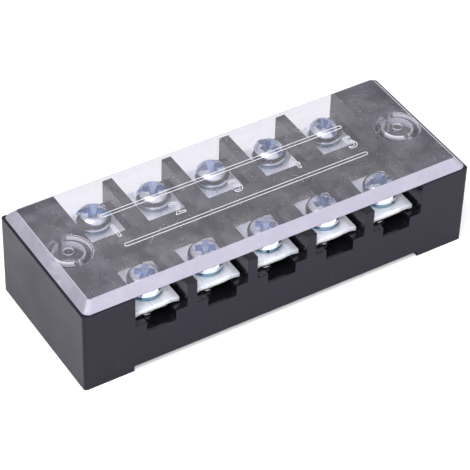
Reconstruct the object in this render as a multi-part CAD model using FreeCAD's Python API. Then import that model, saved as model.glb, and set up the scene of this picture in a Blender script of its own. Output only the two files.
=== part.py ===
import FreeCAD, Part
import math
import os

from FreeCAD import Vector

# Five-pole barrier terminal strip with a push-on clear cover, in millimetres.
# X runs along the row of poles, Y from the front terminals to the back ones, Z up.
# The origin is the centre of the footprint, on the surface that the strip is screwed to.

# Poles and the moulded housing
pole_count = 5
pitch = 12.17             # pole to pole
barrier_t = 1.93          # wall between two poles
barrier_drop = 1.5        # barrier and ridge tops, below the cover's seat
ridge_t = 3.2             # middle rib that the straps pass through
body_w = 30.0             # front face to back face
body_h = 17.0             # underside to the cover's seat
corner_r = 0.6            # upright corners of the housing
foot_l = 9.8              # length of the foot under each end
foot_h = 1.12             # height of the relief between the feet

# Mounting holes, one in each end block
hole_r = 2.2              # clear hole for the fixing screw
head_seat_r = 4.1         # counterbore for its head and for the cover's peg
head_seat_z = 6.0         # floor of the counterbore
bore_wall = 0.54          # counterbore to the nearest bay
end_wall = 1.3            # counterbore to the end face

# Cored pockets beside each mounting hole
pocket_x = 5.8
pocket_y = 4.8
pocket_gap = 1.4          # counterbore to pocket
pocket_d = 6.0

# Contact strap, one for each pole
strap_w = 5.5
strap_t = 0.8
strap_proud = 0.58        # top of the strap above the bay's floor
strap_end_gap = 2.15      # strap's end, back from the housing's face
strap_corner = 0.5
strap_clear = 0.11        # each side, in its channel
window_clear = 0.15       # over the strap, in the ridge
channel_drop = 2.16       # channel's floor below the bay's floor
bed_l = 4.6               # part of the channel that carries the strap, from the ridge out

# Terminal screw, with a combined slot and cross recess
screw_inset = 5.9         # screw's axis, back from the housing's face
shank_r = 1.7
screw_l = 6.0             # under the head
thread_clear = 0.05
tip_clear = 0.7           # screw's tip to the floor of its square pocket
tip_pocket_w = 4.6
hidden_flats = 20         # flats of a round that the screw's head hides
head_r = 3.1
head_h = 2.4
head_room = 1.7           # head's top to the cover
slot_w = 0.8
slot_d = 0.9
cross_w = 1.0
cross_l = 3.8
cross_d = 1.35

# Spring lock washer
washer_r = 3.05
washer_t = 0.9
washer_split = 0.5
hole_clear = 0.15         # washer and clamp plate around the shank

# Square clamp plate with its two sides bent down
plate_t = 0.95
plate_side_gap = 0.67     # to the barriers
plate_ridge_gap = 2.3
plate_face_gap = 1.7      # back from the housing's face
wing_w = 0.9
wing_drop = 0.33

# Clear cover
cover_t = 2.0
cover_land = 0.25         # upright edge below the bevel
cover_bevel = 1.5
cover_inset_x = 0.45
cover_inset_y = 0.2
peg_clear = 0.1
peg_wall = 1.0
peg_l = 5.0
peg_slit = 1.2
peg_lead = 0.35           # lead-in at the peg's tip

# Places that follow from the sizes above
bay_w = pitch - barrier_t
row_x = (pole_count * pitch - barrier_t) / 2
end_block = bore_wall + 2 * head_seat_r + end_wall
half_x = row_x + end_block
half_y = body_w / 2
hole_x = row_x + bore_wall + head_seat_r
ridge_y = ridge_t / 2
barrier_z = body_h - barrier_drop
head_top_z = body_h - head_room
head_z = head_top_z - head_h
washer_z = head_z - washer_t
plate_z = washer_z - plate_t
strap_z = plate_z - strap_t
bay_z = plate_z - strap_proud
channel_z = bay_z - channel_drop
tip_z = head_z - screw_l
screw_y = half_y - screw_inset
slot_half = strap_w / 2 + strap_clear
UP = Vector(0, 0, 1)


def box(x0, x1, y0, y1, z0, z1):
    """Return a block between two corners."""
    low = Vector(min(x0, x1), min(y0, y1), z0)
    return Part.makeBox(abs(x1 - x0), abs(y1 - y0), z1 - z0, low)


def drum(r, z0, z1, x=0.0, y=0.0):
    """Return an upright cylinder."""
    return Part.makeCylinder(r, z1 - z0, Vector(x, y, z0), UP)


def flatted(r, z0, z1, x, y):
    """Return an upright prism of radius r to its corners, for a round that a screw's head hides."""
    turn = 2 * math.pi / hidden_flats
    points = []
    for i in range(hidden_flats + 1):
        points.append(Vector(x + r * math.cos(i * turn), y + r * math.sin(i * turn), z0))
    return Part.Face(Part.makePolygon(points)).extrude(UP * (z1 - z0))


def rounded_outline(hx, hy, r, z):
    """Return a closed wire, a rectangle of half sizes hx and hy with corners of radius r."""
    edges = []
    corners = ((1, 1), (-1, 1), (-1, -1), (1, -1))
    points = []
    for i, (sx, sy) in enumerate(corners):
        cx = sx * (hx - r)
        cy = sy * (hy - r)
        a0 = math.radians(90 * i)
        pts = []
        for a in (a0, a0 + math.pi / 4, a0 + math.pi / 2):
            pts.append(Vector(cx + r * math.cos(a), cy + r * math.sin(a), z))
        points.append(pts)
    for i in range(4):
        pts = points[i]
        after = points[(i + 1) % 4][0]
        edges.append(Part.Arc(pts[0], pts[1], pts[2]).toShape())
        edges.append(Part.LineSegment(pts[2], after).toShape())
    return Part.Wire(edges)


def pole_x(k):
    """Return the middle of pole k, counted from 0 at the left."""
    return (k - (pole_count - 1) / 2) * pitch


def make_housing():
    """Return the moulding: end blocks, barriers, ridge, bays and strap channels."""
    outline = rounded_outline(half_x, half_y, corner_r, 0)
    body = Part.Face(outline).extrude(UP * body_h)
    relief = box(-half_x + foot_l, half_x - foot_l, -half_y - 1, half_y + 1, -1, foot_h)
    cuts = [relief]
    cuts.append(box(-row_x, row_x, -half_y - 1, half_y + 1, barrier_z, body_h + 1))
    for k in range(pole_count):
        x = pole_x(k)
        for side in (-1, 1):
            face_y = side * (half_y + 1)
            y = side * screw_y
            cuts.append(box(x - bay_w / 2, x + bay_w / 2, side * ridge_y, face_y, bay_z, body_h))
            bed_y = side * (ridge_y + bed_l)
            cuts.append(box(x - slot_half, x + slot_half, bed_y, face_y, channel_z, body_h))
            half = tip_pocket_w / 2
            cuts.append(box(x - half, x + half, y - half, y + half, tip_z - tip_clear, body_h))
        strap_top = plate_z + window_clear
        bed = ridge_y + bed_l
        cuts.append(box(x - slot_half, x + slot_half, -bed, bed, strap_z, strap_top))
    for side in (-1, 1):
        x = side * hole_x
        cuts.append(drum(hole_r, -1, body_h, x))
        cuts.append(drum(head_seat_r, head_seat_z, body_h + 1, x))
        for row in (-1, 1):
            y0 = row * (head_seat_r + pocket_gap)
            y1 = y0 + row * pocket_y
            z0 = body_h - pocket_d
            cuts.append(box(x - pocket_x / 2, x + pocket_x / 2, y0, y1, z0, body_h + 1))
    return body.cut(cuts).removeSplitter()


def make_strap(x):
    """Return one contact strap with a tapped hole for each of its two screws."""
    reach = half_y - strap_end_gap
    bar = box(x - strap_w / 2, x + strap_w / 2, -reach, reach, strap_z, plate_z)
    uprights = []
    for e in bar.Edges:
        a, b = e.Vertexes[0].Point, e.Vertexes[1].Point
        if abs(a.z - b.z) > strap_t / 2:
            uprights.append(e)
    bar = bar.makeChamfer(strap_corner, uprights)
    holes = [flatted(shank_r + thread_clear, strap_z - 1, plate_z + 1, x, s * screw_y) for s in (-1, 1)]
    return bar.cut(holes)


def make_clamp(x, side):
    """Return one clamp plate, folded from sheet, with its wings down beside the strap."""
    angle = math.atan2(wing_drop, wing_w)
    turn = plate_t * math.tan(angle / 2)
    edge_x = bay_w / 2 - plate_side_gap
    half = edge_x - plate_t * math.sin(angle)
    flat = half - wing_w
    y0 = side * (ridge_y + plate_ridge_gap)
    y1 = side * (half_y - plate_face_gap)
    edge_z = plate_t * math.cos(angle) - wing_drop
    section = [(-flat, 0), (flat, 0), (half, -wing_drop), (edge_x, edge_z)]
    section += [(flat + turn, plate_t), (-flat - turn, plate_t), (-edge_x, edge_z), (-half, -wing_drop)]
    points = [Vector(x + px, y0, plate_z + pz) for px, pz in section]
    wire = Part.makePolygon(points + points[:1])
    plate = Part.Face(wire).extrude(Vector(0, y1 - y0, 0))
    hole = flatted(shank_r + hole_clear, plate_z - 1, washer_z + 1, x, side * screw_y)
    return plate.cut(hole)


def make_washer(x, y):
    """Return one spring lock washer with its slanting split."""
    ring = drum(washer_r, washer_z, head_z, x, y)
    ring = ring.cut(flatted(shank_r + hole_clear, washer_z - 1, head_z + 1, x, y))
    reach = washer_r + 1
    split = box(x, x + reach, y - washer_split / 2, y + washer_split / 2, washer_z - 1, head_z + 1)
    middle = Vector(x, y, (washer_z + head_z) / 2)
    split.rotate(middle, Vector(1, 0, 0), 25)
    return ring.cut(split)


def make_screw(x, y):
    """Return one terminal screw: plain head with slot and cross, and plain shank."""
    shank = flatted(shank_r, tip_z, head_z, x, y)
    screw = shank.fuse(drum(head_r, head_z, head_top_z, x, y))
    over = head_top_z + 1
    slot_z = head_top_z - slot_d
    slot = box(x - head_r - 1, x + head_r + 1, y - slot_w / 2, y + slot_w / 2, slot_z, over)
    arm = cross_l / 2
    cross_z = head_top_z - cross_d
    wings = box(x - arm, x + arm, y - cross_w / 2, y + cross_w / 2, cross_z, over)
    across = box(x - cross_w / 2, x + cross_w / 2, y - arm, y + arm, cross_z, over)
    return screw.cut([slot, wings, across])


def make_peg(x):
    """Return one split peg of the cover, which grips the counterbore of a mounting hole."""
    peg_r = head_seat_r - peg_clear
    tip = body_h - peg_l
    ring = drum(peg_r, tip + peg_lead, body_h + cover_land, x)
    lead = Part.makeCone(peg_r - peg_lead, peg_r, peg_lead, Vector(x, 0, tip), UP)
    ring = ring.fuse(lead)
    core = drum(peg_r - peg_wall, tip - 1, body_h, x)
    slit = box(x - peg_slit / 2, x + peg_slit / 2, -peg_r - 1, peg_r + 1, tip - 1, body_h)
    return ring.cut([core, slit])


def bevelled_bar(half, along, across):
    """Return a bar with the cover's thickness and bevels, longer than the cover, of half width half."""
    top_half = half - cover_bevel
    section = [(-half, 0), (half, 0), (half, cover_land), (top_half, cover_t), (-top_half, cover_t)]
    section.append((-half, cover_land))
    points = [across * w + UP * (body_h + z) - along * half_x for w, z in section]
    return Part.Face(Part.makePolygon(points + points[:1])).extrude(along * (2 * half_x))


def make_cover():
    """Return the clear cover: a plate, bevelled where two bars cross, and two split pegs."""
    plate = bevelled_bar(half_y - cover_inset_y, Vector(1, 0, 0), Vector(0, 1, 0))
    plate = plate.common(bevelled_bar(half_x - cover_inset_x, Vector(0, 1, 0), Vector(1, 0, 0)))
    pegs = [make_peg(s * hole_x) for s in (-1, 1)]
    return plate.fuse(pegs).removeSplitter()


def save(shape, node):
    """Write one piece to its own file."""
    shape.exportStep("parts/" + node + ".step")


os.makedirs("parts", exist_ok=True)
save(make_housing(), "housing")
save(make_cover(), "cover")
for k in range(pole_count):
    x = pole_x(k)
    save(make_strap(x), "strap_%d" % (k + 1))
    for row, side in (("front", -1), ("back", 1)):
        name = "_%s_%d" % (row, k + 1)
        y = side * screw_y
        save(make_clamp(x, side), "clamp" + name)
        save(make_washer(x, y), "washer" + name)
        save(make_screw(x, y), "screw" + name)
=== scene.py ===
import math

import bmesh
import bpy
from mathutils import Matrix, Vector


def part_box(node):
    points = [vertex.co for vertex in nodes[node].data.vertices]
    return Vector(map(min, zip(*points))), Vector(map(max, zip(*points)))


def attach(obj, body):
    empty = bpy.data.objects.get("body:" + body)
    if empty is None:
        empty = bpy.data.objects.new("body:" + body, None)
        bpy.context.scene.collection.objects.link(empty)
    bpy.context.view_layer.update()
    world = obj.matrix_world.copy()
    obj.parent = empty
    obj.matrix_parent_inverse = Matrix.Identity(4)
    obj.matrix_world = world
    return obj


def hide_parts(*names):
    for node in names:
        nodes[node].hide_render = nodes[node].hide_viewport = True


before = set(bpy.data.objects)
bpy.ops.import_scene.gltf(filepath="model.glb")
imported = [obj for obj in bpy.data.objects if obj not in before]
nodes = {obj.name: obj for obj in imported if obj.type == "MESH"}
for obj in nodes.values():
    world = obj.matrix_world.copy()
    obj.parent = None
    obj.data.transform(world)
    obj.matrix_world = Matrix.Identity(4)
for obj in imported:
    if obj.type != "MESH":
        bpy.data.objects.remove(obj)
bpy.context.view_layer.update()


# The studio
# A white table in a white tent, which has a brighter panel at the back and is brightest in front,
# and one soft lamp high on the left.
# The table shows the light it gets, so the strip's own shadow stays on it.

def put(tree, kind, sockets=None, **settings):
    """Add a node to a tree. Each socket gets a plain value, or a link from another node's output."""
    node = tree.nodes.new(kind)
    for name, value in settings.items():
        setattr(node, name, value)
    for name, value in (sockets or {}).items():
        if isinstance(value, bpy.types.NodeSocket):
            tree.links.new(value, node.inputs[name])
        else:
            node.inputs[name].default_value = value
    return node


def maths(tree, operation, *values):
    """Add a Math node to a tree, with its values or links in their order."""
    return put(tree, "ShaderNodeMath", dict(enumerate(values)), operation=operation)


def vector_maths(tree, operation, *values):
    """Add a Vector Math node to a tree, with its values or links in their order."""
    return put(tree, "ShaderNodeVectorMath", dict(enumerate(values)), operation=operation)


def new_material(name):
    """Return an empty material and its tree."""
    material = bpy.data.materials.new(name)
    material.use_nodes = True
    material.node_tree.nodes.clear()
    return material, material.node_tree


table_half = 1.5
table_mesh = bpy.data.meshes.new("table")
table_signs = ((-1, -1), (1, -1), (1, 1), (-1, 1))
table_corners = [(sx * table_half, sy * table_half, 0) for sx, sy in table_signs]
table_mesh.from_pydata(table_corners, [], [(0, 1, 2, 3)])
table = bpy.data.objects.new("table", table_mesh)
bpy.context.collection.objects.link(table)

table_white, tree = new_material("table_white")
paper = put(tree, "ShaderNodeBsdfDiffuse", {"Color": (0.8, 0.8, 0.8, 1)})
glow = put(tree, "ShaderNodeEmission", {"Color": (1, 1, 1, 1), "Strength": 0.26})
both = put(tree, "ShaderNodeAddShader", {0: paper.outputs[0], 1: glow.outputs[0]})
ray = put(tree, "ShaderNodeLightPath")
choice = put(tree, "ShaderNodeMixShader", {"Fac": ray.outputs["Is Camera Ray"], 1: paper.outputs[0],
                                           2: both.outputs[0]})
put(tree, "ShaderNodeOutputMaterial", {"Surface": choice.outputs[0]})
table_mesh.materials.append(table_white)

tent = bpy.data.worlds.new("tent")
tent.use_nodes = True
tree = tent.node_tree
tree.nodes.clear()
direction = put(tree, "ShaderNodeTexCoord")
height = put(tree, "ShaderNodeSeparateXYZ", {0: direction.outputs["Generated"]})
shade = put(tree, "ShaderNodeValToRGB", {"Fac": height.outputs["Z"]})
shade.color_ramp.elements[0].position = 0.0
shade.color_ramp.elements[0].color = (0.34, 0.35, 0.39, 1)
shade.color_ramp.elements[1].position = 0.45
shade.color_ramp.elements[1].color = (0.97, 0.96, 1, 1)
panel = vector_maths(tree, "DOT_PRODUCT", direction.outputs["Generated"], (0.20, 0.72, 0.665))
panel = put(tree, "ShaderNodeMapRange", {
    "Value": panel.outputs["Value"], "From Min": 0.945, "From Max": 0.99, "To Min": 0.85,
    "To Max": 1.12}, interpolation_type="SMOOTHSTEP")
front = vector_maths(tree, "DOT_PRODUCT", direction.outputs["Generated"], (-0.45, -0.70, 0.55))
front = put(tree, "ShaderNodeMapRange", {
    "Value": front.outputs["Value"], "From Min": 0.3, "From Max": 0.8, "To Min": 1.0,
    "To Max": 2.1}, interpolation_type="SMOOTHSTEP")
strength = maths(tree, "MULTIPLY", panel.outputs[0], front.outputs[0])
cloth = put(tree, "ShaderNodeBackground", {"Color": shade.outputs[0], "Strength": strength.outputs[0]})
put(tree, "ShaderNodeOutputWorld", {"Surface": cloth.outputs[0]})
bpy.context.scene.world = tent

lamp_data = bpy.data.lights.new("soft_lamp", "AREA")
lamp_data.shape = "RECTANGLE"
lamp_data.size = 0.5
lamp_data.size_y = 0.4
lamp_data.energy = 3.0
lamp = bpy.data.objects.new("soft_lamp", lamp_data)
lamp.location = (-0.36, -0.16, 0.58)
lamp.rotation_euler = (Vector((0, 0, 0)) - lamp.location).to_track_quat("-Z", "Y").to_euler()
bpy.context.collection.objects.link(lamp)

camera_place = Vector((-0.16703, -0.25982, 0.28044))
look = Vector((0.40406, 0.63002, -0.66318)).normalized()
level = look.cross(Vector((0, 0, 1))).normalized()
camera_roll = -0.0316
right = Matrix.Rotation(camera_roll, 3, look) @ level
up = right.cross(look)
camera_data = bpy.data.cameras.new("camera")
camera_data.lens = 175.4
camera_data.sensor_width = 36.0
camera_data.clip_end = 10.0
camera = bpy.data.objects.new("camera", camera_data)
turn = Matrix((right, up, -look)).transposed().to_4x4()
camera.matrix_world = Matrix.Translation(camera_place) @ turn
bpy.context.collection.objects.link(camera)
bpy.context.scene.camera = camera
bpy.context.scene.view_settings.view_transform = "Standard"


# The housing
# One moulding of black phenolic plastic, with end blocks, barriers, a middle ridge and the bays.
# Its outside has the fine grain of the mould; inside the bays the mould was polished.

MM = 0.001


def plain_mesh(piece):
    """Turn a piece with modifiers into a piece with a plain mesh."""
    bpy.context.view_layer.update()
    made = piece.evaluated_get(bpy.context.evaluated_depsgraph_get())
    mesh = bpy.data.meshes.new_from_object(made)
    piece.modifiers.clear()
    piece.data = mesh
    mesh.name = piece.name
    return piece


def merged_copy(node, name):
    """Return a new piece with the form of a CAD node, its facets joined to whole faces."""
    same_place = 0.002 * MM
    same_plane = math.radians(0.5)
    mesh = nodes[node].data.copy()
    mesh.materials.clear()
    form = bmesh.new()
    form.from_mesh(mesh)
    bmesh.ops.remove_doubles(form, verts=form.verts, dist=same_place)
    bmesh.ops.dissolve_limit(form, angle_limit=same_plane, verts=form.verts, edges=form.edges)
    form.to_mesh(mesh)
    form.free()
    piece = bpy.data.objects.new(name, mesh)
    bpy.context.collection.objects.link(piece)
    return piece


def finish_edges(piece, width=0.0, segments=2, sharp=40, smooth=35):
    """Round a piece's sharp edges by width, and shade it smooth with its flat faces kept flat."""
    if width:
        edges = piece.modifiers.new("edges", "BEVEL")
        edges.width = width
        edges.segments = segments
        edges.limit_method = "ANGLE"
        edges.angle_limit = math.radians(sharp)
        plain_mesh(piece)
    piece.data.polygons.foreach_set("use_smooth", [True] * len(piece.data.polygons))
    piece.data.set_sharp_from_angle(angle=math.radians(smooth))
    weights = piece.modifiers.new("weights", "WEIGHTED_NORMAL")
    weights.keep_sharp = True
    return plain_mesh(piece)


def skin_group():
    """Return a node group with the grain, flow marks, fine scratches and dust of moulded plastic."""
    group = bpy.data.node_groups.new("moulded_skin", "ShaderNodeTree")
    for name in ("Grain Scale", "Flow Scale", "Scratch Scale", "Scratch Length", "Scratches", "Dust Scale",
                 "Dust"):
        group.interface.new_socket(name, in_out="INPUT", socket_type="NodeSocketFloat")
    for name in ("Grain", "Flow", "Scratches", "Dust"):
        group.interface.new_socket(name, in_out="OUTPUT", socket_type="NodeSocketFloat")
    given = put(group, "NodeGroupInput").outputs
    place = put(group, "ShaderNodeTexCoord").outputs["Object"]
    grain = put(group, "ShaderNodeTexNoise", {"Vector": place, "Scale": given["Grain Scale"],
                                              "Detail": 2.0})
    flow = put(group, "ShaderNodeTexNoise", {"Vector": place, "Scale": given["Flow Scale"], "Detail": 4.0,
                                             "Roughness": 0.55, "Distortion": 0.6})
    bits = put(group, "ShaderNodeTexVoronoi", {"Vector": place, "Scale": given["Scratch Scale"]})
    apart = vector_maths(group, "SUBTRACT", place, bits.outputs["Position"])
    heading = vector_maths(group, "SUBTRACT", bits.outputs["Color"], (0.5, 0.5, 0.5))
    heading = vector_maths(group, "NORMALIZE", heading.outputs[0])
    off_line = vector_maths(group, "DOT_PRODUCT", apart.outputs[0], heading.outputs[0])
    off_line = maths(group, "ABSOLUTE", off_line.outputs["Value"])
    line = put(group, "ShaderNodeMapRange", {"Value": off_line.outputs[0], "From Min": 0.07 * MM,
                                             "From Max": 0.02 * MM})
    reach = vector_maths(group, "LENGTH", apart.outputs[0])
    near_end = maths(group, "MULTIPLY", given["Scratch Length"], 0.5)
    ends = put(group, "ShaderNodeMapRange", {"Value": reach.outputs["Value"],
                                             "From Min": given["Scratch Length"],
                                             "From Max": near_end.outputs[0]})
    marks = maths(group, "MULTIPLY", line.outputs[0], ends.outputs[0])
    pick = put(group, "ShaderNodeSeparateColor", {0: bits.outputs["Color"]})
    share = maths(group, "MULTIPLY", given["Scratches"], 0.5)
    chosen = maths(group, "COMPARE", pick.outputs["Blue"], 0.5, share.outputs[0])
    marks = maths(group, "MULTIPLY", marks.outputs[0], chosen.outputs[0])
    cells = put(group, "ShaderNodeTexVoronoi", {"Vector": place, "Scale": given["Dust Scale"]})
    pick = put(group, "ShaderNodeSeparateColor", {0: cells.outputs["Color"]})
    size = maths(group, "MULTIPLY", pick.outputs["Green"], 0.16)
    inside = maths(group, "LESS_THAN", cells.outputs["Distance"], size.outputs[0])
    few = maths(group, "LESS_THAN", pick.outputs["Red"], given["Dust"])
    dust = maths(group, "MULTIPLY", inside.outputs[0], few.outputs[0])
    put(group, "NodeGroupOutput", {"Grain": grain.outputs["Fac"], "Flow": flow.outputs["Fac"],
                                   "Scratches": marks.outputs[0], "Dust": dust.outputs[0]})
    return group


moulded_skin = skin_group()


def black_plastic(name, dark, pale, low, high, grain_depth, gloss):
    """Return the black plastic, dark to pale, with its roughness from low to high, grain and gloss."""
    material, tree = new_material(name)
    skin = put(tree, "ShaderNodeGroup", {
        "Grain Scale": 3200.0, "Flow Scale": 90.0, "Scratch Scale": 160.0, "Scratch Length": 2.0 * MM,
        "Scratches": 0.3, "Dust Scale": 1300.0, "Dust": 0.03}, node_tree=moulded_skin)
    shade = put(tree, "ShaderNodeMix", {"Factor": skin.outputs["Flow"], "A": dark, "B": pale},
                data_type="RGBA")
    scuff = maths(tree, "MULTIPLY", skin.outputs["Scratches"], 0.22)
    scuffed = put(tree, "ShaderNodeMix", {"Factor": scuff.outputs[0], "A": shade.outputs["Result"],
                                          "B": (0.08, 0.08, 0.09, 1)}, data_type="RGBA")
    dusted = put(tree, "ShaderNodeMix", {"Factor": skin.outputs["Dust"], "A": scuffed.outputs["Result"],
                                         "B": (0.10, 0.10, 0.11, 1)}, data_type="RGBA")
    polish = put(tree, "ShaderNodeMapRange", {"Value": skin.outputs["Flow"], "From Min": 0.3,
                                              "From Max": 0.7, "To Min": low, "To Max": high})
    bump = put(tree, "ShaderNodeBump", {"Height": skin.outputs["Grain"], "Strength": 0.35,
                                        "Distance": grain_depth})
    shader = put(tree, "ShaderNodeBsdfPrincipled", {
        "Base Color": dusted.outputs["Result"], "Roughness": polish.outputs[0], "Normal": bump.outputs[0],
        "IOR": 1.5, "Specular IOR Level": gloss})
    put(tree, "ShaderNodeOutputMaterial", {"Surface": shader.outputs[0]})
    return material


grained_black = black_plastic(
    "grained_black", dark=(0.0042, 0.0034, 0.0110, 1), pale=(0.0085, 0.0072, 0.0190, 1),
    low=0.30, high=0.42, grain_depth=0.02 * MM, gloss=0.28)
polished_black = black_plastic(
    "polished_black", dark=(0.0035, 0.0033, 0.0045, 1), pale=(0.0075, 0.0071, 0.0092, 1),
    low=0.08, high=0.18, grain_depth=0.004 * MM, gloss=0.42)

housing = merged_copy("housing", "moulded_housing")
finish_edges(housing, 0.05 * MM)
housing.data.materials.append(grained_black)
housing.data.materials.append(polished_black)
housing_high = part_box("housing")[1]
row_end = 29.5 * MM
row_floor = 5.0 * MM
skin_t = 0.2 * MM
for face in housing.data.polygons:
    c = face.center
    in_row = abs(c.x) < row_end and abs(c.y) < housing_high.y - skin_t and c.z > row_floor
    face.material_index = 1 if in_row else 0
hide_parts("housing")
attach(housing, "housing")


# The contact straps
# Five flat strips of plated brass, which slide in under the ridge and carry current across it.
# Their edges are rounded by tumbling, and the plating is a little dull.

def plated_group():
    """Return a node group with the cloudy tint, brushing and pits of a plated surface."""
    group = bpy.data.node_groups.new("plated_skin", "ShaderNodeTree")
    for name in ("Cloud Scale", "Brush Scale", "Brush Turn"):
        group.interface.new_socket(name, in_out="INPUT", socket_type="NodeSocketFloat")
    for name in ("Cloud", "Brush", "Pits"):
        group.interface.new_socket(name, in_out="OUTPUT", socket_type="NodeSocketFloat")
    given = put(group, "NodeGroupInput")
    place = put(group, "ShaderNodeTexCoord").outputs["Object"]
    cloud = put(group, "ShaderNodeTexNoise", {"Vector": place, "Scale": given.outputs["Cloud Scale"],
                                              "Detail": 3.0, "Roughness": 0.5, "Distortion": 0.8})
    angle = put(group, "ShaderNodeCombineXYZ", {"Z": given.outputs["Brush Turn"]})
    along = put(group, "ShaderNodeMapping", {"Vector": place, "Rotation": angle.outputs[0],
                                             "Scale": (1.0, 0.12, 1.0)})
    brush = put(group, "ShaderNodeTexNoise", {"Vector": along.outputs[0], "Detail": 2.0,
                                              "Scale": given.outputs["Brush Scale"]})
    pits = put(group, "ShaderNodeTexVoronoi", {"Vector": place, "Scale": 3500.0})
    put(group, "NodeGroupOutput", {"Cloud": cloud.outputs["Fac"], "Brush": brush.outputs["Fac"],
                                   "Pits": pits.outputs["Distance"]})
    return group


plated_skin = plated_group()


def plated(name, warm, cool, low, high, dent, shine=1.0):
    """Return a plated metal with tints warm to cool, roughness low to high and its share of shine."""
    material, tree = new_material(name)
    skin = put(tree, "ShaderNodeGroup", {"Cloud Scale": 260.0, "Brush Scale": 2600.0, "Brush Turn": 0.2},
               node_tree=plated_skin)
    spread = put(tree, "ShaderNodeMapRange", {"Value": skin.outputs["Cloud"], "From Min": 0.35,
                                              "From Max": 0.65})
    tint = put(tree, "ShaderNodeMix", {"Factor": spread.outputs[0], "A": warm, "B": cool}, data_type="RGBA")
    polish = put(tree, "ShaderNodeMapRange", {"Value": skin.outputs["Brush"], "From Min": 0.3,
                                              "From Max": 0.7, "To Min": low, "To Max": high})
    relief = maths(tree, "ADD", skin.outputs["Cloud"], skin.outputs["Brush"])
    relief = maths(tree, "ADD", relief.outputs[0], skin.outputs["Pits"])
    bump = put(tree, "ShaderNodeBump", {"Height": relief.outputs[0], "Strength": 0.5, "Distance": dent})
    shader = put(tree, "ShaderNodeBsdfPrincipled", {
        "Base Color": tint.outputs["Result"], "Metallic": shine, "Roughness": polish.outputs[0],
        "Normal": bump.outputs[0]})
    put(tree, "ShaderNodeOutputMaterial", {"Surface": shader.outputs[0]})
    return material


strap_plating = plated("strap_plating", warm=(0.74, 0.72, 0.67, 1), cool=(0.68, 0.68, 0.67, 1),
                       low=0.22, high=0.36, dent=0.02 * MM)
strap_edge = 0.08 * MM
poles = range(1, 6)
for k in poles:
    strap = merged_copy("strap_%d" % k, "contact_strap_%d" % k)
    finish_edges(strap, strap_edge)
    strap.data.materials.append(strap_plating)
    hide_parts("strap_%d" % k)
    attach(strap, "housing")


# The clamp plates
# Ten squares of zinc-plated steel, sheared and bent down at both sides so that no strand creeps out.
# Shearing left a rounded upper edge and a wavy front; the plating is pale and half matt.

def new_tree(name, inputs):
    """Return a geometry tree, with its named inputs and the node that gives their values."""
    tree = bpy.data.node_groups.new(name, "GeometryNodeTree")
    for label, kind in inputs:
        tree.interface.new_socket(label, in_out="INPUT", socket_type="NodeSocket" + kind)
    tree.interface.new_socket("Geometry", in_out="OUTPUT", socket_type="NodeSocketGeometry")
    return tree, put(tree, "NodeGroupInput").outputs


def end_tree(tree, form, given, turned=True):
    """End a tree: the form is turned and put in its place, made real, and given its material."""
    if turned:
        angle = put(tree, "ShaderNodeCombineXYZ", {"Z": given["Turn"]})
        form = put(tree, "GeometryNodeTransform", {"Geometry": form, "Rotation": angle.outputs[0],
                                                   "Translation": given["Place"]}).outputs[0]
    form = put(tree, "GeometryNodeRealizeInstances", {0: form})
    form = put(tree, "GeometryNodeSetMaterial", {"Geometry": form.outputs[0],
                                                 "Material": given["Material"]})
    put(tree, "NodeGroupOutput", {0: form.outputs[0]})


def made_by(tree, name, values, mesh=None):
    """Return a piece whose mesh a geometry tree makes from the values given."""
    piece = bpy.data.objects.new(name, mesh or bpy.data.meshes.new(name))
    bpy.context.collection.objects.link(piece)
    maker = piece.modifiers.new("maker", "NODES")
    maker.node_group = tree
    for item in tree.interface.items_tree:
        if item.item_type == "SOCKET" and item.in_out == "INPUT" and item.name in values:
            maker[item.identifier] = values[item.name]
    return plain_mesh(piece)


tree, given = new_tree("clamp_plate", (
    ("Place", "Vector"), ("Turn", "Float"), ("Width", "Float"), ("Length", "Float"), ("Thickness", "Float"),
    ("Wing", "Float"), ("Drop", "Float"), ("Hole Radius", "Float"), ("Hole Offset", "Float"),
    ("Wave", "Float"), ("Seed", "Float"), ("Material", "Material")))
sheet = put(tree, "GeometryNodeMeshGrid", {"Size X": given["Width"], "Size Y": given["Length"],
                                           "Vertices X": 37, "Vertices Y": 25})
at = put(tree, "GeometryNodeInputPosition")
xyz = put(tree, "ShaderNodeSeparateXYZ", {0: at.outputs[0]})
out_x = maths(tree, "ABSOLUTE", xyz.outputs["X"])
half = maths(tree, "MULTIPLY", given["Width"], 0.5)
fold = maths(tree, "SUBTRACT", half.outputs[0], given["Wing"])
down = maths(tree, "MULTIPLY", given["Drop"], -1.0)
bend = put(tree, "ShaderNodeMapRange", {"Value": out_x.outputs[0], "From Min": fold.outputs[0],
                                        "From Max": half.outputs[0], "To Max": down.outputs[0]})
sheared_y = -4.7 * MM
straight_y = -3.4 * MM
ends = put(tree, "ShaderNodeMapRange", {"Value": xyz.outputs["Y"], "From Min": sheared_y,
                                        "From Max": straight_y, "To Min": 1.0, "To Max": 0.0})
ripple = put(tree, "ShaderNodeTexNoise", {"W": given["Seed"], "Vector": at.outputs[0], "Scale": 330.0,
                                          "Detail": 2.0}, noise_dimensions="4D")
ripple = maths(tree, "SUBTRACT", ripple.outputs["Fac"], 0.5)
ripple = maths(tree, "MULTIPLY", ripple.outputs[0], given["Wave"])
ripple = maths(tree, "MULTIPLY", ripple.outputs[0], ends.outputs[0])
moved = put(tree, "ShaderNodeCombineXYZ", {"Y": ripple.outputs[0], "Z": bend.outputs[0]})
upper = put(tree, "GeometryNodeSetPosition", {"Geometry": sheet.outputs["Mesh"],
                                              "Offset": moved.outputs[0]})
thick = put(tree, "ShaderNodeCombineXYZ", {"Z": given["Thickness"]})
walls = put(tree, "GeometryNodeExtrudeMesh", {"Mesh": upper.outputs[0], "Offset": thick.outputs[0],
                                              "Offset Scale": 1.0, "Individual": False})
lower = put(tree, "GeometryNodeFlipFaces", {"Mesh": upper.outputs[0]})
solid = put(tree, "GeometryNodeJoinGeometry")
tree.links.new(walls.outputs["Mesh"], solid.inputs[0])
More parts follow.
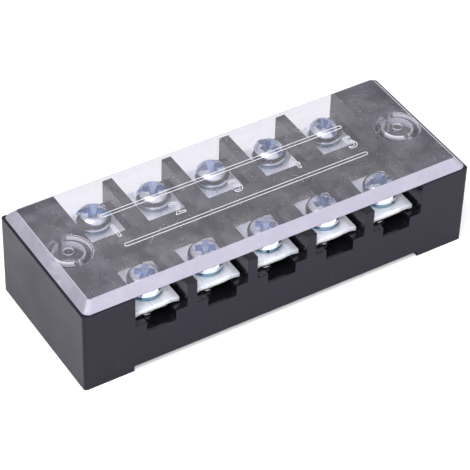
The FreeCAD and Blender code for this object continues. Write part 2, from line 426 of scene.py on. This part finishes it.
tree.links.new(lower.outputs[0], solid.inputs[0])
solid = put(tree, "GeometryNodeMergeByDistance", {"Geometry": solid.outputs[0], "Distance": 0.001 * MM})
hole_at = put(tree, "ShaderNodeCombineXYZ", {"Y": given["Hole Offset"]})
punch = put(tree, "GeometryNodeMeshCylinder", {"Vertices": 48, "Radius": given["Hole Radius"],
                                               "Depth": 6 * MM})
punch = put(tree, "GeometryNodeTransform", {"Geometry": punch.outputs["Mesh"],
                                            "Translation": hole_at.outputs[0]})
plate = put(tree, "GeometryNodeMeshBoolean", {"Mesh 1": solid.outputs[0]}, operation="DIFFERENCE",
            solver="EXACT")
tree.links.new(punch.outputs[0], plate.inputs["Mesh 2"])
end_tree(tree, plate.outputs[0], given)
clamp_plate = tree

clamp_plating = plated("clamp_plating", warm=(0.86, 0.88, 0.91, 1), cool=(0.76, 0.79, 0.84, 1),
                       low=0.25, high=0.40, dent=0.012 * MM, shine=0.35)
plate_t = 0.95 * MM
wing_w = 1.2 * MM
wing_drop = 0.33 * MM
plate_hole_r = 1.85 * MM
edge_wave = 0.25 * MM
plate_edge = 0.08 * MM
edge_room = 0.05 * MM
terminals = [(row, k) for row in ("front", "back") for k in poles]
for i, (row, k) in enumerate(terminals):
    node = "clamp_%s_%d" % (row, k)
    low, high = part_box(node)
    screw_low, screw_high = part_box("screw_%s_%d" % (row, k))
    middle = (low + high) / 2
    screw_y = (screw_low.y + screw_high.y) / 2
    facing = 0.0 if row == "front" else math.pi
    clamp = made_by(clamp_plate, "clamp_plate_%s_%d" % (row, k), {
        "Place": (middle.x, middle.y, high.z - plate_t), "Turn": facing, "Width": high.x - low.x,
        "Length": high.y - low.y - edge_room, "Thickness": plate_t, "Wing": wing_w, "Drop": wing_drop,
        "Hole Radius": plate_hole_r, "Hole Offset": (screw_y - middle.y) * math.cos(facing),
        "Wave": edge_wave, "Seed": 3.0 * i, "Material": clamp_plating})
    finish_edges(clamp, plate_edge, segments=3)
    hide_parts(node)
    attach(clamp, node)


# The lock washers
# Ten turns of flat spring wire under the screw heads, cut through and sprung a little apart.
# Blue zinc plate, coloured darker than the heads as painted shade under them.

tree, given = new_tree("lock_washer", (
    ("Place", "Vector"), ("Turn", "Float"), ("Middle Radius", "Float"), ("Wire Width", "Float"),
    ("Wire Height", "Float"), ("Gap", "Float"), ("Slant", "Float"), ("Material", "Material")))
sweep = maths(tree, "SUBTRACT", 2 * math.pi, given["Gap"])
coil = put(tree, "GeometryNodeCurveArc", {"Resolution": 72, "Radius": given["Middle Radius"],
                                          "Sweep Angle": sweep.outputs[0]})
wire = put(tree, "GeometryNodeCurvePrimitiveQuadrilateral", {"Width": given["Wire Width"],
                                                             "Height": given["Wire Height"]})
wire = put(tree, "GeometryNodeFilletCurve", {"Curve": wire.outputs[0], "Radius": 0.2 * MM, "Count": 4},
           mode="POLY")
ring = put(tree, "GeometryNodeCurveToMesh", {"Curve": coil.outputs[0], "Profile Curve": wire.outputs[0],
                                             "Fill Caps": True})
at = put(tree, "GeometryNodeInputPosition")
xyz = put(tree, "ShaderNodeSeparateXYZ", {0: at.outputs[0]})
lean = maths(tree, "MULTIPLY", xyz.outputs["Z"], given["Slant"])
leaning = put(tree, "ShaderNodeVectorRotate", {"Vector": at.outputs[0], "Angle": lean.outputs[0]},
              rotation_type="Z_AXIS")
ring = put(tree, "GeometryNodeSetPosition", {"Geometry": ring.outputs[0], "Position": leaning.outputs[0]})
end_tree(tree, ring.outputs[0], given)
lock_washer = tree

# Painted shade: the washers' colour is set dark for the shade under the screw heads.
washer_plating_painted_shade = plated("washer_plating_painted_shade", warm=(0.22, 0.33, 0.40, 1), cool=(0.08, 0.18, 0.25, 1),
                        low=0.12, high=0.24, dent=0.008 * MM)
wire_w = 1.15 * MM
wire_h = 0.78 * MM
wire_gap = 0.17
wire_slant = 150.0
washer_turns = (0.2, 2.3, 4.4, 1.1, 5.2, 3.4, 0.9, 2.8, 5.9, 4.0)
for i, (row, k) in enumerate(terminals):
    node = "washer_%s_%d" % (row, k)
    low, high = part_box(node)
    screw_low, screw_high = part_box("screw_%s_%d" % (row, k))
    middle = (screw_low + screw_high) / 2
    outer_r = (high.y - low.y) / 2
    washer = made_by(lock_washer, "lock_washer_%s_%d" % (row, k), {
        "Place": (middle.x, middle.y, low.z + wire_h / 2), "Turn": washer_turns[i],
        "Middle Radius": outer_r - wire_w / 2, "Wire Width": wire_w, "Wire Height": wire_h,
        "Gap": wire_gap, "Slant": wire_slant, "Material": washer_plating_painted_shade})
    finish_edges(washer)
    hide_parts(node)
    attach(washer, "clamp_%s_%d" % (row, k))


# The terminal screws
# Ten pan-head screws with a slot and a cross punched into one recess, cold-headed and zinc-plated.
# The recess is coloured darker and bluer than the dome, as painted shade.
# The thread is rolled; each was driven to its own angle.

def lathe(name, profile, steps=64):
    """Return a mesh turned from a profile of radius and height, which starts and ends on the axis."""
    same_place = 0.0005 * MM
    form = bmesh.new()
    points = [form.verts.new((r, 0, z)) for r, z in profile]
    rims = [form.edges.new(pair) for pair in zip(points, points[1:])]
    bmesh.ops.spin(form, geom=points + rims, cent=(0, 0, 0), axis=(0, 0, 1), angle=2 * math.pi, steps=steps)
    bmesh.ops.remove_doubles(form, verts=form.verts, dist=same_place)
    bmesh.ops.recalc_face_normals(form, faces=form.faces)
    mesh = bpy.data.meshes.new(name)
    form.to_mesh(mesh)
    form.free()
    return mesh


tree, given = new_tree("terminal_screw", (
    ("Blank", "Geometry"), ("Place", "Vector"), ("Turn", "Float"), ("Slot Width", "Float"),
    ("Slot Depth", "Float"), ("Cross Width", "Float"), ("Cross Length", "Float"), ("Cross Depth", "Float"),
    ("Thread Radius", "Float"), ("Thread Pitch", "Float"), ("Thread Turns", "Float"),
    ("Thread Top", "Float"), ("Material", "Material")))
slot_l = 9.0 * MM
point_share = 0.42
ridge_share = 0.4
twice = maths(tree, "MULTIPLY", given["Slot Depth"], 2.0)
slot_size = put(tree, "ShaderNodeCombineXYZ", {"X": slot_l, "Y": given["Slot Width"],
                                               "Z": twice.outputs[0]})
slot = put(tree, "GeometryNodeMeshCube", {"Size": slot_size.outputs[0]})
cutters = [slot.outputs["Mesh"]]
across = maths(tree, "MULTIPLY", given["Cross Length"], math.sqrt(0.5))
foot = maths(tree, "MULTIPLY", across.outputs[0], point_share)
point = put(tree, "GeometryNodeMeshCone", {"Vertices": 4, "Radius Top": across.outputs[0],
                                           "Radius Bottom": foot.outputs[0], "Depth": given["Cross Depth"]})
narrow = maths(tree, "DIVIDE", given["Cross Width"], given["Cross Length"])
flat = put(tree, "ShaderNodeCombineXYZ", {"X": 1.0, "Y": narrow.outputs[0], "Z": 1.0})
sink = maths(tree, "MULTIPLY", given["Cross Depth"], -1.0)
sunk = put(tree, "ShaderNodeCombineXYZ", {"Z": sink.outputs[0]})
squared = put(tree, "GeometryNodeTransform", {"Geometry": point.outputs["Mesh"],
                                              "Rotation": (0, 0, math.pi / 4)})
for angle in (0.0, math.pi / 2):
    wing = put(tree, "GeometryNodeTransform", {"Geometry": squared.outputs[0], "Scale": flat.outputs[0]})
    wing = put(tree, "GeometryNodeTransform", {"Geometry": wing.outputs[0], "Rotation": (0, 0, angle),
                                               "Translation": sunk.outputs[0]})
    cutters.append(wing.outputs[0])
cut = put(tree, "GeometryNodeMeshBoolean", {"Mesh 1": given["Blank"]}, operation="DIFFERENCE",
          solver="EXACT")
for cutter in cutters:
    tree.links.new(cutter, cut.inputs["Mesh 2"])
rise = maths(tree, "MULTIPLY", given["Thread Pitch"], given["Thread Turns"])
helix = put(tree, "GeometryNodeCurveSpiral", {
    "Resolution": 24, "Rotations": given["Thread Turns"], "Start Radius": given["Thread Radius"],
    "End Radius": given["Thread Radius"], "Height": rise.outputs[0]})
ridge_r = maths(tree, "MULTIPLY", given["Thread Pitch"], ridge_share)
ridge = put(tree, "GeometryNodeCurvePrimitiveCircle", {"Resolution": 4, "Radius": ridge_r.outputs[0]})
thread = put(tree, "GeometryNodeCurveToMesh", {"Curve": helix.outputs[0], "Profile Curve": ridge.outputs[0],
                                               "Fill Caps": True})
low_end = maths(tree, "SUBTRACT", given["Thread Top"], rise.outputs[0])
low_end = put(tree, "ShaderNodeCombineXYZ", {"Z": low_end.outputs[0]})
thread = put(tree, "GeometryNodeTransform", {"Geometry": thread.outputs[0],
                                             "Translation": low_end.outputs[0]})
whole = put(tree, "GeometryNodeJoinGeometry")
for part in (cut, thread):
    tree.links.new(part.outputs[0], whole.inputs[0])
end_tree(tree, whole.outputs[0], given)
terminal_screw = tree

screw_plating = plated("screw_plating", warm=(0.88, 0.90, 0.92, 1), cool=(0.70, 0.78, 0.87, 1),
                       low=0.08, high=0.17, dent=0.01 * MM)
# Painted shade: the recess gets a darker, bluer finish than the dome.
recess_plating_painted_shade = plated("recess_plating_painted_shade", warm=(0.46, 0.56, 0.72, 1), cool=(0.24, 0.33, 0.48, 1),
                        low=0.12, high=0.26, dent=0.01 * MM)
head_r = 3.22 * MM
head_h = 2.4 * MM
head_flat_r = 1.5 * MM
head_side_h = 0.5 * MM
head_crown = 0.05 * MM
head_base_r = 0.15 * MM
dome_steps = 12
crown_steps = 4
dome_h = head_h - head_side_h - head_crown
shank_r = 1.45 * MM
tip_bevel = 0.3 * MM
thread_r = 1.42 * MM
thread_pitch = 0.6 * MM
thread_gap = 0.4 * MM
bare_turns = 1.2
recess_gap = 0.12 * MM
rim_gap = 0.1 * MM
screw_edge = 0.06 * MM
screw_turns = (1.0, 1.1, 0.93, 1.5, -0.1, -0.57, -0.38, -0.24, -1.24, -1.46)
for i, (row, k) in enumerate(terminals):
    node = "screw_%s_%d" % (row, k)
    low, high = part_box(node)
    middle = (low + high) / 2
    length = high.z - low.z
    profile = [(0, -length), (shank_r - tip_bevel, -length), (shank_r, tip_bevel - length)]
    profile += [(shank_r, -head_h), (head_r - head_base_r, -head_h), (head_r, head_base_r - head_h)]
    for step in range(dome_steps + 1):
        angle = math.radians(90 * step / dome_steps)
        r = head_flat_r + (head_r - head_flat_r) * math.cos(angle)
        profile.append((r, dome_h * (math.sin(angle) - 1) - head_crown))
    for step in range(1, crown_steps + 1):
        r = head_flat_r * (1 - step / crown_steps)
        profile.append((r, -head_crown * (r / head_flat_r) ** 2))
    screw = made_by(terminal_screw, "terminal_screw_%s_%d" % (row, k), {
        "Place": (middle.x, middle.y, high.z), "Turn": screw_turns[i], "Slot Width": 0.9 * MM,
        "Slot Depth": 0.95 * MM, "Cross Width": 1.6 * MM, "Cross Length": 3.8 * MM, "Cross Depth": 1.6 * MM,
        "Thread Radius": thread_r, "Thread Pitch": thread_pitch,
        "Thread Turns": (length - head_h) / thread_pitch - bare_turns, "Thread Top": -head_h - thread_gap,
        "Material": screw_plating}, lathe("screw_blank", profile))
    screw.data.materials.clear()
    screw.data.materials.append(screw_plating)
    screw.data.materials.append(recess_plating_painted_shade)
    # Faces sunk below the dome get the recess finish, which paints the shade in the recess.
    for face in screw.data.polygons:
        out = math.hypot(face.center.x - middle.x, face.center.y - middle.y)
        rise = math.sqrt(max(0, 1 - (max(0, out - head_flat_r) / (head_r - head_flat_r)) ** 2))
        dome_z = high.z - head_crown - dome_h * (1 - rise)
        in_recess = high.z - head_h < face.center.z < dome_z - recess_gap and out < head_r - rim_gap
        face.material_index = 1 if in_recess else 0
    finish_edges(screw, screw_edge)
    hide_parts(node)
    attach(screw, node)


# The cover
# One clear moulding: a bevelled plate, two split pegs that grip the wells of the housing,
# and fine raised lines and numerals on top. Its bevels get painted light, a pale cloudy finish,
# and the bevels that face left get painted shade, a darker one. The raised lines, the numerals,
# the gate wall and the claw faces turned to the light get painted highlight, a white cloudy finish.

def rounded_loop(form, hx, hy, r, z, steps=6):
    """Add the corner points of a rectangle with rounded corners, at height z, to a mesh in the making."""
    loop = []
    for i, (sx, sy) in enumerate(((1, 1), (-1, 1), (-1, -1), (1, -1))):
        for step in range(steps + 1):
            angle = math.radians(90 * i + 90 * step / steps)
            x = sx * (hx - r) + r * math.cos(angle)
            y = sy * (hy - r) + r * math.sin(angle)
            loop.append(form.verts.new((x, y, z)))
    return loop


def clear_plastic(name, tint, through, cloud, scratch):
    """Return the clear plastic. A cloud of 1 hides what is behind; scratch is how rough its wear is."""
    material, tree = new_material(name)
    skin = put(tree, "ShaderNodeGroup", {
        "Grain Scale": 700.0, "Flow Scale": 260.0, "Scratch Scale": 230.0, "Scratch Length": 1.8 * MM,
        "Scratches": 0.25, "Dust Scale": 1400.0, "Dust": 0.35}, node_tree=moulded_skin)
    wear = maths(tree, "MAXIMUM", skin.outputs["Scratches"], skin.outputs["Dust"])
    polish = put(tree, "ShaderNodeMapRange", {"Value": wear.outputs[0], "To Min": 0.03, "To Max": scratch})
    film = put(tree, "ShaderNodeMapRange", {"Value": skin.outputs["Flow"], "From Min": 0.45,
                                            "From Max": 0.70, "To Max": 0.32})
    marked = maths(tree, "MULTIPLY", wear.outputs[0], 0.5)
    film = maths(tree, "MAXIMUM", film.outputs[0], marked.outputs[0])
    bump = put(tree, "ShaderNodeBump", {"Height": skin.outputs["Grain"], "Strength": 0.2,
                                        "Distance": 0.002 * MM})
    shader = put(tree, "ShaderNodeBsdfPrincipled", {
        "Base Color": tint, "IOR": 1.56, "Normal": bump.outputs[0], "Transmission Weight": 1.0 - cloud,
        "Roughness": polish.outputs[0], "Coat Weight": film.outputs[0], "Coat Roughness": 0.5,
        "Coat IOR": 2.6, "Specular Tint": (0.93, 0.90, 1, 1)})
    clear = put(tree, "ShaderNodeBsdfTransparent", {"Color": through})
    ray = put(tree, "ShaderNodeLightPath")
    choice = put(tree, "ShaderNodeMixShader", {"Fac": ray.outputs["Is Shadow Ray"], 1: shader.outputs[0],
                                               2: clear.outputs[0]})
    put(tree, "ShaderNodeOutputMaterial", {"Surface": choice.outputs[0]})
    return material


cover_clear = clear_plastic("cover_clear", tint=(0.76, 0.75, 0.795, 1), through=(0.85, 0.84, 0.88, 1),
                            cloud=0.015, scratch=0.4)
cover_frost = clear_plastic("cover_frost", tint=(0.70, 0.69, 0.76, 1), through=(0.82, 0.81, 0.85, 1),
                            cloud=0.35, scratch=0.4)
# Painted shade for the bevels that face left.
cover_painted_rim_shade = clear_plastic("cover_painted_rim_shade", tint=(0.36, 0.35, 0.415, 1), through=(0.82, 0.81, 0.85, 1),
                           cloud=0.62, scratch=0.3)
# Painted light for the bevels: a pale cloudy finish stands for the light they carry.
cover_painted_rim_light = clear_plastic("cover_painted_rim_light", tint=(0.41, 0.395, 0.475, 1), through=(0.82, 0.81, 0.85, 1),
                             cloud=0.85, scratch=0.3)
# Painted highlight for the raised lines, numerals, gate wall and lit claw faces.
cover_painted_glint = clear_plastic("cover_painted_glint", tint=(0.88, 0.88, 0.92, 1), through=(0.9, 0.9, 0.9, 1),
                           cloud=0.9, scratch=0.3)

cover_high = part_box("cover")[1]
seat_gap = 0.04 * MM
seat_z = housing_high.z + seat_gap
land_z = housing_high.z + 0.25 * MM
top_z = cover_high.z
bevel = 1.5 * MM
half_x, half_y = cover_high.x, cover_high.y
corner_r = 1.2 * MM
soft = 0.1 * MM
tighter = 0.3 * MM
levels = (
    (soft, soft, seat_z), (0.3 * soft, 0.0, seat_z + 0.3 * soft), (0.0, 0.0, seat_z + soft),
    (0.0, 0.0, land_z - soft / 2), (soft / 2, 0.0, land_z + soft / 2),
    (bevel - soft, 2.5 * soft, top_z - 1.2 * soft),
    (bevel + 0.3 * soft, tighter, top_z - 0.35 * soft), (bevel + 1.8 * soft, tighter, top_z))
form = bmesh.new()
loops = [rounded_loop(form, half_x - inset, half_y - inset, corner_r - less, z)
         for inset, less, z in levels]
for below, above in zip(loops, loops[1:]):
    for i in range(len(below)):
        j = (i + 1) % len(below)
        form.faces.new((below[i], below[j], above[j], above[i]))
form.faces.new(reversed(loops[0]))
form.faces.new(loops[-1])
peg_x = 34.098 * MM
peg_r = 4.0 * MM
peg_wall = 1.0 * MM
peg_l = 5.0 * MM
peg_slit = 1.2 * MM
peg_lead = 0.35 * MM
peg_tip_z = housing_high.z - peg_l
inner_r = peg_r - peg_wall
flare = 0.5 * MM
flare_steps = 6
flare_z = seat_z + 0.02 * MM
sunk_z = flare_z + 0.3 * MM
glint_z = housing_high.z - 1.7 * MM
quarter = [math.radians(90 * step / flare_steps) for step in range(flare_steps + 1)]
flared = [(flare * (1 - math.cos(angle)), flare_z - flare * (1 - math.sin(angle))) for angle in quarter]
claw_profile = [(peg_r - peg_lead, peg_tip_z), (peg_r, peg_tip_z + peg_lead), (peg_r, glint_z)]
claw_profile += [(peg_r + out, z) for out, z in flared]
claw_profile += [(peg_r + flare, sunk_z), (inner_r - flare, sunk_z)]
claw_profile += [(inner_r - out, z) for out, z in reversed(flared)]
claw_profile += [(inner_r, glint_z), (inner_r, peg_tip_z)]
half_slit = math.asin(peg_slit / 2 / (peg_r - peg_wall / 2))
claw_steps = 36
for side in (-1, 1):
    for start in (-math.pi / 2, math.pi / 2):
        rings = []
        for step in range(claw_steps + 1):
            angle = start + half_slit + (math.pi - 2 * half_slit) * step / claw_steps
            rings.append([form.verts.new((side * peg_x + r * math.cos(angle), r * math.sin(angle), z))
                          for r, z in claw_profile])
        for near, far in zip(rings, rings[1:]):
            for i in range(len(near)):
                j = (i + 1) % len(near)
                form.faces.new((near[i], far[i], far[j], near[j]))
        form.faces.new(rings[0])
        form.faces.new(reversed(rings[-1]))
bmesh.ops.recalc_face_normals(form, faces=form.faces)
plate_mesh = bpy.data.meshes.new("cover_plate")
form.to_mesh(plate_mesh)
form.free()

tree, given = new_tree("cover_dress", (
    ("Plate", "Geometry"), ("Peg Reach", "Float"), ("Top Height", "Float"), ("Line Bead", "Float"),
    ("Line Length", "Float"), ("Line Width", "Float"), ("Line Place", "Float"), ("Numeral Bead", "Float"),
    ("Numeral Size", "Float"), ("Numeral Spacing", "Float"), ("Numeral Place", "Float"),
    ("Gate Radius", "Float"), ("Gate Depth", "Float"), ("Gate Height", "Float"), ("Material", "Material")))
line_shift = -0.45 * MM
numeral_shift = -0.7 * MM
middle_pole = 3
marks = []
for side in (-1, 1):
    line = put(tree, "GeometryNodeCurvePrimitiveQuadrilateral", {"Width": given["Line Length"],
                                                                 "Height": given["Line Width"]})
    round_r = maths(tree, "MULTIPLY", given["Line Width"], 0.49)
    line = put(tree, "GeometryNodeFilletCurve", {"Curve": line.outputs[0], "Radius": round_r.outputs[0],
                                                 "Count": 6}, mode="POLY")
    line_y = maths(tree, "MULTIPLY", given["Line Place"], float(side))
    line_at = put(tree, "ShaderNodeCombineXYZ", {"X": line_shift, "Y": line_y.outputs[0],
                                                 "Z": given["Top Height"]})
    line = put(tree, "GeometryNodeTransform", {"Geometry": line.outputs[0],
                                               "Translation": line_at.outputs[0]})
    marks.append((line.outputs[0], given["Line Bead"]))
for k in poles:
    text = put(tree, "FunctionNodeInputString", string=str(k))
    numeral = put(tree, "GeometryNodeStringToCurves", {"String": text.outputs[0],
                                                       "Size": given["Numeral Size"]},
                  align_x="CENTER", align_y="MIDDLE")
    numeral = put(tree, "GeometryNodeRealizeInstances", {0: numeral.outputs[0]})
    numeral = put(tree, "GeometryNodeResampleCurve", {"Curve": numeral.outputs[0], "Length": 0.12 * MM},
                  mode="LENGTH")
    along = maths(tree, "MULTIPLY", given["Numeral Spacing"], float(k - middle_pole))
    shifted = maths(tree, "ADD", along.outputs[0], numeral_shift)
    numeral_at = put(tree, "ShaderNodeCombineXYZ", {"X": shifted.outputs[0], "Y": given["Numeral Place"],
                                                    "Z": given["Top Height"]})
    numeral = put(tree, "GeometryNodeTransform", {"Geometry": numeral.outputs[0],
                                                  "Translation": numeral_at.outputs[0]})
    marks.append((numeral.outputs[0], given["Numeral Bead"]))
gates = []
for side in (-1, 1):
    reach = maths(tree, "MULTIPLY", given["Peg Reach"], float(side))
    gate = put(tree, "GeometryNodeMeshCylinder", {"Vertices": 40, "Radius": given["Gate Radius"],
                                                  "Depth": given["Gate Depth"]})
    gate_at = put(tree, "ShaderNodeCombineXYZ", {"X": reach.outputs[0], "Z": given["Gate Height"]})
    gate = put(tree, "GeometryNodeTransform", {"Geometry": gate.outputs["Mesh"],
                                               "Translation": gate_at.outputs[0]})
    gates.append(gate.outputs[0])
whole = put(tree, "GeometryNodeMeshBoolean", {"Self Intersection": True}, operation="UNION", solver="EXACT")
tree.links.new(given["Plate"], whole.inputs["Mesh 2"])
for curve, bead_r in marks:
    bead = put(tree, "GeometryNodeCurvePrimitiveCircle", {"Resolution": 8, "Radius": bead_r})
    raised = put(tree, "GeometryNodeCurveToMesh", {"Curve": curve, "Profile Curve": bead.outputs[0],
                                                   "Fill Caps": True})
    tree.links.new(raised.outputs[0], whole.inputs["Mesh 2"])
gated = put(tree, "GeometryNodeMeshBoolean", {"Mesh 1": whole.outputs[0]}, operation="DIFFERENCE",
            solver="EXACT")
for gate in gates:
    tree.links.new(gate, gated.inputs["Mesh 2"])
end_tree(tree, gated.outputs[0], given, turned=False)

gate_r = 0.95 * MM
gate_d = 0.4 * MM
cover = made_by(tree, "clear_cover", {
    "Peg Reach": peg_x, "Top Height": top_z, "Line Bead": 0.055 * MM, "Line Length": 50.0 * MM,
    "Line Width": 0.75 * MM, "Line Place": 4.3 * MM, "Numeral Bead": 0.055 * MM, "Numeral Size": 4.7 * MM,
    "Numeral Spacing": 12.12 * MM, "Numeral Place": -0.45 * MM, "Gate Radius": gate_r,
    "Gate Depth": 2 * gate_d, "Gate Height": seat_z, "Material": cover_clear}, plate_mesh)
finish_edges(cover, smooth=30)
cover.data.materials.clear()
finishes = (cover_clear, cover_frost, cover_painted_rim_light, cover_painted_glint, cover_painted_rim_shade)
for finish in finishes:
    cover.data.materials.append(finish)
rim_w = bevel + 1.7 * soft
claw_r = peg_r + 1.2 * flare
claw_middle_r = peg_r - peg_wall / 2
flat_normal_z = 0.98
left_normal_x = -0.4
slack = 0.01 * MM
for face in cover.data.polygons:
    c = face.center
    from_peg = math.hypot(abs(c.x) - peg_x, c.y)
    around = math.degrees(math.atan2(c.y, c.x - math.copysign(peg_x, c.x))) % 360
    near_edge = abs(c.x) > half_x - rim_w or abs(c.y) > half_y - rim_w
    on_rim = near_edge and c.z > seat_z + 0.1 * slack and abs(face.normal.z) < flat_normal_z
    on_claw = from_peg < claw_r and glint_z < c.z < seat_z - slack
    # Claw faces turned towards the light get the painted highlight.
    lit_outside = from_peg > claw_middle_r and (around > 305 or around < 65)
    lit_inside = from_peg <= claw_middle_r and 185 < around < 285
    painted_glint_claw = on_claw and (lit_outside or lit_inside)
    gate_wall = from_peg < gate_r + slack and seat_z + slack < c.z < seat_z + gate_d - slack
    finish = cover_clear
    # Raised marks, lit claw faces and the gate wall get painted highlight.
    if c.z > top_z + slack:
        finish = cover_painted_glint
    # Bevels get painted light, and the ones that face left get painted shade.
    elif on_rim and face.normal.x < left_normal_x:
        finish = cover_painted_rim_shade
    elif painted_glint_claw or gate_wall:
        finish = cover_painted_glint
    elif on_rim:
        finish = cover_painted_rim_light
    elif on_claw:
        finish = cover_frost
    face.material_index = finishes.index(finish)
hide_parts("cover")
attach(cover, "cover")
